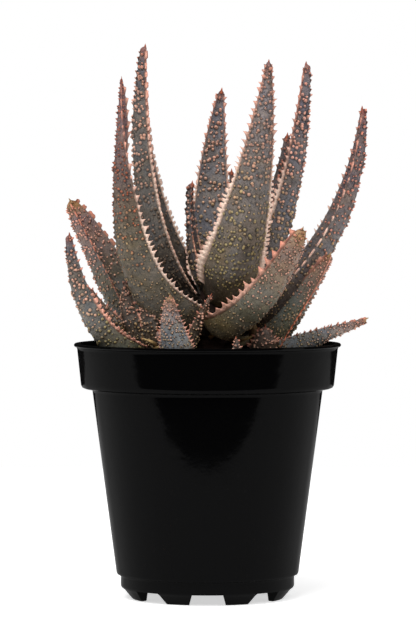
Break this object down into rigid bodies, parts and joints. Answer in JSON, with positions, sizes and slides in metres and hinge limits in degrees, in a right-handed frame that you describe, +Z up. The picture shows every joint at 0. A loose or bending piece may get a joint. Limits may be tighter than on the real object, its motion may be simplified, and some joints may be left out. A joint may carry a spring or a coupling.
{
  "type": "potted aloe",
  "caption": "Tall toothed and warty purple-grey aloe rosette with offsets at its foot, in soil in a thin black round nursery pot.",
  "frame": {"origin": "middle of the whole part's box on the surface that the pot stands on; the pot's axis is 4.0 mm to -X and 1.5 mm to -Y of it", "axes": "+Z up along the pot's axis and the plant's height, -Y towards the front that the picture shows, +X to the right seen from the front"},
  "size_m": [0.1236, 0.113, 0.2274],
  "materials": {
    "pot": "black moulded plastic, satin gloss",
    "soil": "dark bark and peat mix, rough",
    "stem": "dry brown stem",
    "leaf": "waxy purple-grey skin with coral teeth and peach tubercles",
    "young_leaf": "waxy grey-green skin with coral teeth"
  },
  "bodies": {
    "root": {"pot": "pot", "soil": "soil", "stem_main": "stem", "stem_left": "stem", "stem_front": "stem", "stem_right": "stem", "stem_seedling": "stem", "leaf_right_front_old": "leaf", "leaf_front_left": "leaf", "leaf_front": "leaf", "leaf_left_back": "leaf", "leaf_right": "leaf", "leaf_right_long": "leaf", "leaf_back_centre": "leaf", "leaf_back": "leaf", "leaf_back_left": "leaf", "leaf_back_right": "leaf", "leaf_back_mid": "leaf", "leaf_back_low_left": "leaf", "leaf_back_low_mid": "leaf", "leaf_back_low_right": "leaf", "leaf_offset_left_long": "leaf", "leaf_offset_left_old": "leaf", "leaf_offset_right_rising": "leaf", "leaf_offset_right_low": "leaf", "leaf_centre_young": "young_leaf", "leaf_right_back_young": "young_leaf", "leaf_back_tip": "young_leaf", "leaf_offset_front_upright": "young_leaf", "leaf_offset_front_dark": "young_leaf", "leaf_offset_front_left": "young_leaf", "leaf_offset_right_stub": "young_leaf", "leaf_offset_right_back": "young_leaf", "leaf_offset_left_inner": "young_leaf", "leaf_offset_left_near": "young_leaf", "leaf_offset_left_outer": "young_leaf", "leaf_offset_left_back": "young_leaf", "leaf_seedling": "young_leaf"}
  },
  "joints": []
}
